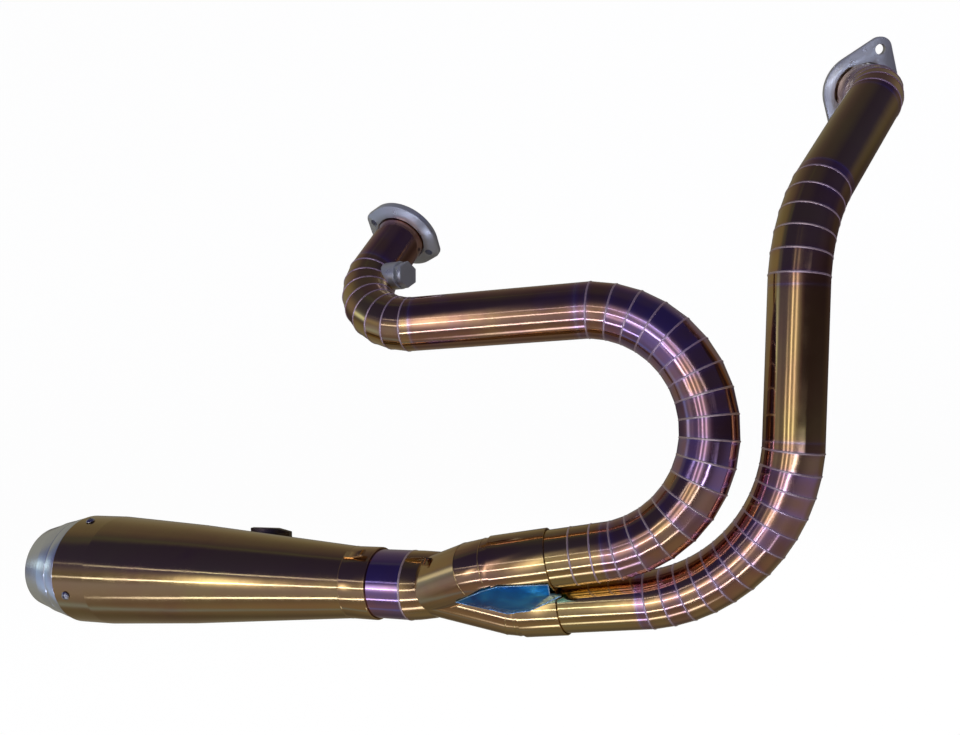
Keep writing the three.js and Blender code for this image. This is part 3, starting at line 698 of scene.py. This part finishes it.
body = "collector"
merge = toned(merge_mesh(), 0.36)
piece("collector_merge_look", merge, body, tint, "tinted_steel", "collector_merge_body", smooth=14)
leg_beads = []
for laid, pipe in ((rear, REAR), (front, FRONT)):
    pts = leg_points(laid, pipe)
    dirs = [(b - a).normalized() for a, b in zip(pts, pts[1:])]
    leg_beads += [(pts[k], (dirs[k - 1] + dirs[k]).normalized(), dirs[k - 1], LEG_R) for k in (1, 2)]
outlet_end = OUTLET_FRONT - 0.15
outlet = lathe([(OUTLET_BACK, OUTLET_R), (outlet_end, OUTLET_R), (outlet_end, OUTLET_R - WALL),
                (OUTLET_BACK, OUTLET_R - WALL)], 120)
outlet = toned(outlet, 0.98, [(Vector((OUTLET_FRONT, 0, 0)), X)])
piece("collector_outlet_look", outlet, body, tint, "purple_steel", "collector_outlet_tube")
for side, laid, pipe in (("rear", rear, REAR), ("front", front, FRONT)):
    length = pipe["mitre"][0] - 4 - 0.3
    section = [(-length, SOCKET_BORE), (-length, SOCKET_R), (0, SOCKET_R), (0, SOCKET_BORE)]
    mesh = lathe(round_profile(section, (0, 0, 0.4, 0.3)), 96, laid["mouth"], laid["mouth"] + laid["heading"])
    piece(f"collector_{side}_socket_look", toned(mesh, 0.35), body, tint, "tinted_steel",
          f"collector_{side}_socket", smooth=30)
outlet_bead = beads_at([(Vector((OUTLET_FRONT, 0, 0)), X, X, OUTLET_R)], 160, 0.9, 0.4)
piece("collector_outlet_bead", outlet_bead, body, bead_metal, "tinted_steel", smooth=60)
piece("collector_leg_beads", toned(beads_at(leg_beads, 160, 0.55, 0.2), 0.2), body, tint, "tinted_steel",
      smooth=60)

# The crotch, the edge along the rear leg, the fold, and the edge along the front leg.
GUSSET = [
    (82.5, -29, -5),
    (108.5, -40, 6.5), (123.5, -41, 11.5), (162, -34, 13.4),
    (113, -31, -1.2), (138.5, -32, 2.2), (162, -31, 5.0),
    (103.8, -9, -14.6), (117.2, -6.5, -17.5), (135.2, -6.5, -14.6), (146, -6, -9.6), (162, -4.5, -1.5),
]
GUSSET_FACETS = [
    (0, 1, 4), (0, 4, 7), (1, 2, 5), (1, 5, 4), (2, 3, 6), (2, 6, 5),
    (4, 8, 7), (4, 5, 8), (5, 9, 8), (5, 6, 9), (6, 10, 9), (6, 11, 10),
]
GUSSET_OUT = Vector((0, -0.722, -0.692))


def gusset_mesh():
    """Folded filler plate between the legs, cut clear of the legs and their sockets."""
    step = GUSSET_OUT * -1.6
    corners = [Vector(p) for p in GUSSET]
    facing = []
    for a, b, c in GUSSET_FACETS:
        normal = (corners[b] - corners[a]).cross(corners[c] - corners[a])
        facing.append((a, b, c) if normal.dot(step) < 0 else (a, c, b))
    count = len(corners)
    edges = [(f[k], f[(k + 1) % 3]) for f in facing for k in range(3)]
    rim = [(a, b) for a, b in edges if (b, a) not in edges]
    faces = facing + [(c + count, b + count, a + count) for a, b, c in facing]
    faces += [(b, a, a + count, b + count) for a, b in rim]
    plate = mesh_from(corners + [p + step for p in corners], faces)
    legs = ((rear, REAR), (front, FRONT))
    cutters = [solid_leg(leg_points(laid, pipe, 60), LEG_R + 0.4) for laid, pipe in legs]
    for laid, pipe in legs:
        length = pipe["mitre"][0] - 4
        section = [(-length, 0), (-length, SOCKET_R + 0.4), (9, SOCKET_R + 0.4), (9, 0)]
        cutters.append(lathe(section, 96, laid["mouth"], laid["mouth"] + laid["heading"]))
    return boolean(plate, cutters)


def seam_beads(plate, facing, radius, sides=8):
    """Small beads along the edges where the plate's outer face meets what it was cut against."""
    bm = bmesh.new()
    bm.from_mesh(plate)
    bm.normal_update()
    verts, faces = [], []
    for edge in bm.edges:
        outward = [f.normal.dot(facing) for f in edge.link_faces]
        if len(outward) != 2 or max(outward) < 0.35 or min(outward) > 0.2:
            continue
        a, b = (v.co.copy() for v in edge.verts)
        along = (b - a).normalized()
        e1, e2 = frame_at(along)
        base = len(verts)
        tip = along * radius * 0.5
        for end, swell in ((a - tip, 0.5), (a, 1), (b, 1), (b + tip, 0.5)):
            turns = [2 * math.pi * k / sides for k in range(sides)]
            verts += [end + (e1 * math.cos(w) + e2 * math.sin(w)) * radius * swell for w in turns]
        for row in range(3):
            for k in range(sides):
                t = (k + 1) % sides
                here = base + row * sides
                there = here + sides
                faces.append((here + k, here + t, there + t, there + k))
        faces.append(tuple(base + k for k in range(sides))[::-1])
        faces.append(tuple(base + 3 * sides + k for k in range(sides)))
    bm.free()
    return mesh_from(verts, faces)


gusset = gusset_mesh()
seam = seam_beads(gusset, GUSSET_OUT, 0.42)
piece("collector_gusset_weld", seam, body, weld_blue, "blued_steel", smooth=60)
piece("collector_gusset_outer_look", gusset, body, blue_metal, "blued_steel", "collector_gusset_outer",
      smooth=14)
inner_plate = toned(cad_copy("collector_gusset_inner", 0.3, 2), 0.4)
piece("collector_gusset_inner_look", inner_plate, body, tint, "tinted_steel", "collector_gusset_inner",
      smooth=12)
for k in (1, 2):
    hook = toned(cad_copy(f"collector_spring_hook_{k}", 0.5, 3), 0.3)
    piece(f"collector_spring_hook_{k}_look", hook, body, tint, "bare_steel", f"collector_spring_hook_{k}",
          smooth=40)

# ---------------------------------------------------------------- muffler
body = "muffler"
shell_profile = [(CONE_FRONT + 0.1, SLEEVE_R), (CONE_MID, CONE_MID_R), (CONE_REAR, BODY_R),
                 (SHELL_REAR, BODY_REAR_R)]
shell = lathe(shell_profile + [(x, r - WALL) for x, r in shell_profile[::-1]], 192)
screw_base = Vector((SCREW_X, 0, 0))
screw_tips = [screw_base + Vector((0, -math.cos(a), math.sin(a))) for a in map(math.radians, SCREW_ANGLES)]


def screw_cutters(radius):
    return [lathe([(40, 0), (40, radius), (60, radius), (60, 0)], 32, screw_base, tip) for tip in screw_tips]


shell = boolean(shell, screw_cutters(2.8))
piece("muffler_shell_look", toned(shell, 0.2), body, tint, "tinted_steel", "muffler_shell", smooth=2.6)
SLEEVE_BACK, SLEEVE_BORE = CONE_FRONT + 0.2, 28.85
sleeve_section = [(SLEEVE_BACK, SLEEVE_R), (0, SLEEVE_R), (0, SLEEVE_BORE), (SLEEVE_BACK, SLEEVE_BORE)]
sleeve = lathe(round_profile(sleeve_section, (0, 1.0, 0.3, 0)), 144)
piece("muffler_sleeve_look", toned(sleeve, 0.3), body, tint, "tinted_steel", "muffler_inlet_sleeve",
      smooth=30)
sleeve_bead = beads_at([(Vector((CONE_FRONT, 0, 0)), X, X, SLEEVE_R - 0.15)], 180)
piece("muffler_weld_beads", sleeve_bead, body, tint, "tinted_steel", smooth=60)
# The cap's outside with a small step, its rim, its bore, and the spigot inside the shell.
cap_section = [
    (-323.6, 50.7), (-336.6, 47.7), (-337.0, 47.2), (-337.5, 47.4), (-350.8, 44.6), (-351.3, 44.0),
    (CAP_REAR, 38.2), (CAP_REAR, 27.4), (CAP_REAR + 1.6, 25.8), (-351, 25.7), (-351, 38),
    (-329.6, 44.3), (-291, 44.3), (-291, 48.3), (-323.6, 48.3),
]
cap_profile = round_profile(cap_section, (0.6, 0.2, 0, 0.2, 0.3, 0.2, 2.2, 0.8, 0.8, 0, 0, 0, 0, 0.5, 0))
cap = boolean(lathe(cap_profile, 192), screw_cutters(2.6))
piece("muffler_end_cap_look", cap, body, alu, "cap_aluminium", "muffler_end_cap", smooth=24)
seat = BODY_REAR_R + 0.25
screw_section = [(44.4, 0), (44.4, 2.3), (seat, 2.3), (seat, 4.3), (seat + 0.6, 4.3), (seat + 2.5, 2.2),
                 (seat + 2.5, 0)]
screw_profile = round_profile(screw_section, (0, 0.2, 0, 0.15, 0.5, 1.2, 0))
hex_profile = [(seat + 1.0, 0), (seat + 1.0, 1.5), (seat + 4, 1.5), (seat + 4, 0)]
for k, tip in enumerate(screw_tips, 1):
    screw = boolean(lathe(screw_profile, 48, screw_base, tip), [lathe(hex_profile, 6, screw_base, tip)])
    piece(f"end_cap_screw_{k}_look", screw, body, screw_steel, "bare_steel", f"end_cap_screw_{k}")
hanger = cad_copy("muffler_hanger", 0.6, 3)
piece("muffler_hanger_look", hanger, body, dark_steel, "bracket_steel", "muffler_hanger", smooth=40)
for k in (1, 2):
    hook = toned(cad_copy(f"muffler_spring_hook_{k}", 0.5, 3), 0.3)
    piece(f"muffler_spring_hook_{k}_look", hook, body, tint, "bare_steel", f"muffler_spring_hook_{k}",
          smooth=40)
inner_looks = {"muffler_core_tube": core_steel, "muffler_core_ring": core_steel, "muffler_packing": wool_look}
for node, look in inner_looks.items():
    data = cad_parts[node].data
    data.materials.clear()
    data.materials.append(look)

# ---------------------------------------------------------------- stage, light and camera
low, high = (Vector(v) for v in cad_bounds)
middle = (low + high) / 2
floor_z = low.z - 0.30


def backdrop():
    """A pale floor that curves up into a wall, wide enough for every side view."""
    rings = [(0, 0), (3.0, 0), (3.6, 0.08), (4.1, 0.3), (4.45, 0.7), (4.6, 1.3), (4.6, 6.0)]
    verts, faces = [], []
    sides = 96
    turns = [2 * math.pi * k / sides for k in range(sides)]
    for r, rise in rings:
        verts += [(middle.x + r * math.cos(w), middle.y + r * math.sin(w), floor_z + rise) for w in turns]
    for a in range(len(rings) - 1):
        for k in range(sides):
            t = (k + 1) % sides
            here, there = a * sides, (a + 1) * sides
            faces.append((here + k, here + t, there + t, there + k))
    mesh = bpy.data.meshes.new("backdrop")
    mesh.from_pydata(verts, [], faces)
    mesh.shade_smooth()
    obj = bpy.data.objects.new("backdrop", mesh)
    bpy.context.scene.collection.objects.link(obj)
    n = Nodes("backdrop_white")
    n.put(n.bsdf.inputs["Base Color"], (0.05, 0.05, 0.05, 1))
    n.put(n.bsdf.inputs["Roughness"], 1.0)
    n.put(n.bsdf.inputs["Specular IOR Level"], 0.0)
    n.put(n.bsdf.inputs["Emission Color"], (1, 1, 1, 1))
    n.put(n.bsdf.inputs["Emission Strength"], 0.97)
    mesh.materials.append(n.material)
    obj.visible_glossy = False
    obj.visible_diffuse = False
    obj.visible_shadow = False


backdrop()


def build_world():
    """Studio that the polished metal mirrors: dark above, pale below, and a few long soft strips in front."""
    world = bpy.data.worlds.new("studio")
    bpy.context.scene.world = world
    world.use_nodes = True
    tree = world.node_tree
    tree.nodes.clear()
    link = tree.links.new

    def math_node(op, a, b=0.0, c=0.0, clamp=False):
        node = tree.nodes.new("ShaderNodeMath")
        node.operation, node.use_clamp = op, clamp
        for socket, value in zip(node.inputs, (a, b, c)):
            if isinstance(value, bpy.types.NodeSocket):
                link(value, socket)
            else:
                socket.default_value = value
        return node.outputs[0]

    def dot(vector):
        node = tree.nodes.new("ShaderNodeVectorMath")
        node.operation = "DOT_PRODUCT"
        link(coords.outputs["Generated"], node.inputs[0])
        node.inputs[1].default_value = vector
        return node.outputs["Value"]

    def ramp(fac, stops):
        node = tree.nodes.new("ShaderNodeValToRGB")
        link(fac, node.inputs[0])
        els = node.color_ramp.elements
        while len(els) < len(stops):
            els.new(0.5)
        for el, (position, colour) in zip(els, stops):
            el.position, el.color = position, (*colour, 1)
        return node.outputs[0]

    def mix(fac, first, second):
        node = tree.nodes.new("ShaderNodeMix")
        node.data_type = "RGBA"
        link(fac, node.inputs[0])
        link(first, node.inputs[6])
        link(second, node.inputs[7])
        return node.outputs[2]

    def bell(value, centre, width, power):
        d = math_node("DIVIDE", math_node("SUBTRACT", value, centre), width)
        exponent = math_node("MULTIPLY", math_node("MULTIPLY", d, d), -1.0)
        return math_node("MULTIPLY", math_node("POWER", 2.718, exponent), power)

    # round_about goes round the compass, 0.5 straight in front; climb goes from 0 below to 1 above.
    coords = tree.nodes.new("ShaderNodeTexCoord")
    ahead, side, rise = dot((0.394, -0.919, 0)), dot((0.919, 0.394, 0)), dot((0, 0, 1))
    round_about = math_node("MULTIPLY_ADD", math_node("ARCTAN2", side, ahead), 0.5 / math.pi, 0.5)
    climb = math_node("MULTIPLY_ADD", rise, 0.5, 0.5)
    front_look = ramp(climb, [
        (0.0, (0.16, 0.15, 0.13)), (0.03, (0.22, 0.19, 0.17)), (0.09, (0.22, 0.18, 0.17)),
        (0.146, (0.16, 0.14, 0.15)), (0.25, (0.26, 0.25, 0.33)), (0.37, (0.27, 0.27, 0.42)),
        (0.43, (0.19, 0.18, 0.28)), (0.5, (0.17, 0.16, 0.27)), (0.6, (0.075, 0.070, 0.18)),
        (0.67, (0.038, 0.037, 0.12)), (0.93, (0.030, 0.028, 0.085)), (1.0, (0.05, 0.05, 0.08))])
    rear_look = ramp(climb, [
        (0.0, (0.20, 0.19, 0.17)), (0.1, (0.10, 0.09, 0.08)), (0.3, (0.22, 0.21, 0.17)),
        (0.5, (0.26, 0.25, 0.20)), (0.75, (0.20, 0.19, 0.16)),
        (0.95, (0.08, 0.07, 0.10)), (1.0, (0.06, 0.055, 0.08))])
    brightness = [
        (0.0, 0.05), (0.139, 0.05), (0.208, 0.08), (0.25, 0.16), (0.283, 0.34), (0.306, 0.14), (0.336, 0.16),
        (0.346, 0.4), (0.354, 2.8), (0.362, 0.5), (0.372, 0.28), (0.386, 0.4), (0.395, 2.6), (0.404, 0.45),
        (0.42, 0.3), (0.436, 1.8), (0.446, 0.5), (0.465, 0.22), (0.49, 0.07), (0.517, 0.02), (0.75, 0.018),
        (0.889, 0.045), (1.0, 0.05)]
    bright_hue, dark_hue = Vector((1, 0.97, 1.02)), Vector((1, 0.7, 0.9))
    level = ramp(round_about, [(p, (bright_hue if v > 0.1 else dark_hue) * v) for p, v in brightness])
    around = mix(math_node("MULTIPLY_ADD", ahead, -2.5, 0.1, True), front_look, rear_look)
    narrow = math_node("MULTIPLY_ADD", round_about, 40.0, -14.4, True)
    wide_band, thin_band = bell(rise, 0.0, 0.30, 0.95), bell(rise, -0.06, 0.13, 0.95)
    band = math_node("ADD", math_node("MULTIPLY", wide_band, narrow),
                     math_node("MULTIPLY", thin_band, math_node("SUBTRACT", 1.0, narrow)))
    around = mix(band, around, level)
    left_look = ramp(climb, [
        (0.0, (0.17, 0.22, 0.33)), (0.2, (0.24, 0.31, 0.44)), (0.3, (0.34, 0.43, 0.60)),
        (0.4, (0.25, 0.34, 0.50)), (0.475, (0.30, 0.41, 0.56)), (0.51, (0.80, 0.98, 1.05)),
        (0.55, (0.80, 0.98, 1.05)), (0.59, (0.24, 0.31, 0.44)), (0.64, (0.10, 0.12, 0.20)),
        (0.8, (0.07, 0.08, 0.11)), (1.0, (0.07, 0.08, 0.09))])
    around = mix(bell(round_about, 0.225, 0.018, 1.0), around, left_look)
    high_strips = math_node("ADD", bell(rise, 0.24, 0.010, 2.0), bell(rise, -0.105, 0.014, 5.5))
    low_strips = math_node("ADD", bell(rise, -0.60, 0.016, 6.5), bell(rise, -0.93, 0.018, 2.6))
    strips = math_node("ADD", high_strips, low_strips)
    reach = ramp(round_about, [(0.29, (0, 0, 0)), (0.36, (1, 1, 1)), (0.5, (1, 1, 1)), (0.57, (0, 0, 0))])
    lamps = tree.nodes.new("ShaderNodeVectorMath")
    lamps.operation = "SCALE"
    lamps.inputs[0].default_value = (1.0, 1.12, 1.55)
    link(math_node("MULTIPLY", strips, reach), lamps.inputs["Scale"])
    mixed = tree.nodes.new("ShaderNodeVectorMath")
    mixed.operation = "ADD"
    link(around, mixed.inputs[0])
    link(lamps.outputs[0], mixed.inputs[1])
    background = tree.nodes.new("ShaderNodeBackground")
    link(mixed.outputs[0], background.inputs[0])
    background.inputs[1].default_value = 1.0
    out = tree.nodes.new("ShaderNodeOutputWorld")
    link(background.outputs[0], out.inputs[0])


build_world()


def area_light(name, at, target, size, power):
    data = bpy.data.lights.new(name, "AREA")
    data.shape, data.size, data.size_y, data.energy = "RECTANGLE", size[0], size[1], power
    obj = bpy.data.objects.new(name, data)
    bpy.context.scene.collection.objects.link(obj)
    obj.location = at
    obj.rotation_euler = (target - at).to_track_quat("-Z", "Y").to_euler()
    obj.visible_camera = False
    obj.visible_glossy = False
    return obj


area_light("key", middle + Vector((-1.6, -2.2, 2.2)), middle, (1.2, 0.8), 60)
area_light("fill", middle + Vector((1.9, -1.4, 1.2)), middle, (1.0, 0.7), 22)
area_light("rim", middle + Vector((0.4, 2.2, 1.6)), middle, (1.6, 0.5), 24)

camera_data = bpy.data.cameras.new("camera")
camera = bpy.data.objects.new("camera", camera_data)
bpy.context.scene.collection.objects.link(camera)
bpy.context.scene.camera = camera
camera_data.sensor_width = 36
camera_data.lens = 950 / 960 * 36
camera_data.clip_start, camera_data.clip_end = 0.01, 50
right, up = Vector((0.91817, 0.39422, -0.03942)), Vector((0.04289, 0, 0.99908))
back = right.cross(up).normalized()
up = back.cross(right).normalized()
place = Matrix.Translation(TO_ROW @ Vector((403.1, -709.7, 166.4)))
camera.matrix_world = place @ Matrix((right, up, back)).transposed().to_4x4()

scene = bpy.context.scene
scene.view_settings.view_transform = "Standard"
scene.view_settings.look = "None"
